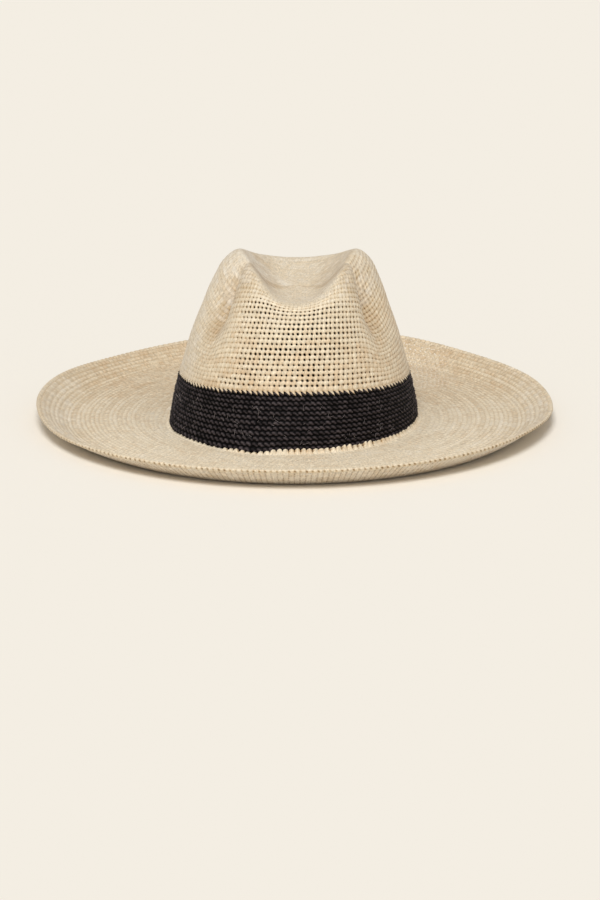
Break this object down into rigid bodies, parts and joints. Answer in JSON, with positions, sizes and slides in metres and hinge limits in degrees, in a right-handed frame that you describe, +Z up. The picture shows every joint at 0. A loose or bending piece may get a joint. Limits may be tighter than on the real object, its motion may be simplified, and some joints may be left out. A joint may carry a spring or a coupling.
{
  "type": "wide-brim straw hat",
  "caption": "Wide-brim crocheted straw hat with a creased, pinched crown, a dark band worked into the wall and a curled brim edge.",
  "frame": {"origin": "on the surface that the brim rests on, at the middle of the brim", "axes": "+Z up, the front of the hat faces -Y, +X is the wearer's left"},
  "size_m": [0.3596, 0.3902, 0.1211],
  "materials": {
    "natural_straw": "crocheted natural straw, matt with a faint sheen on the strands",
    "black_straw": "crocheted straw dyed black, slight sheen, a few loose fibres"
  },
  "bodies": {
    "root": {"crown": "natural_straw", "hat_band": "black_straw", "brim": "natural_straw", "edge_round": "natural_straw"}
  },
  "joints": []
}
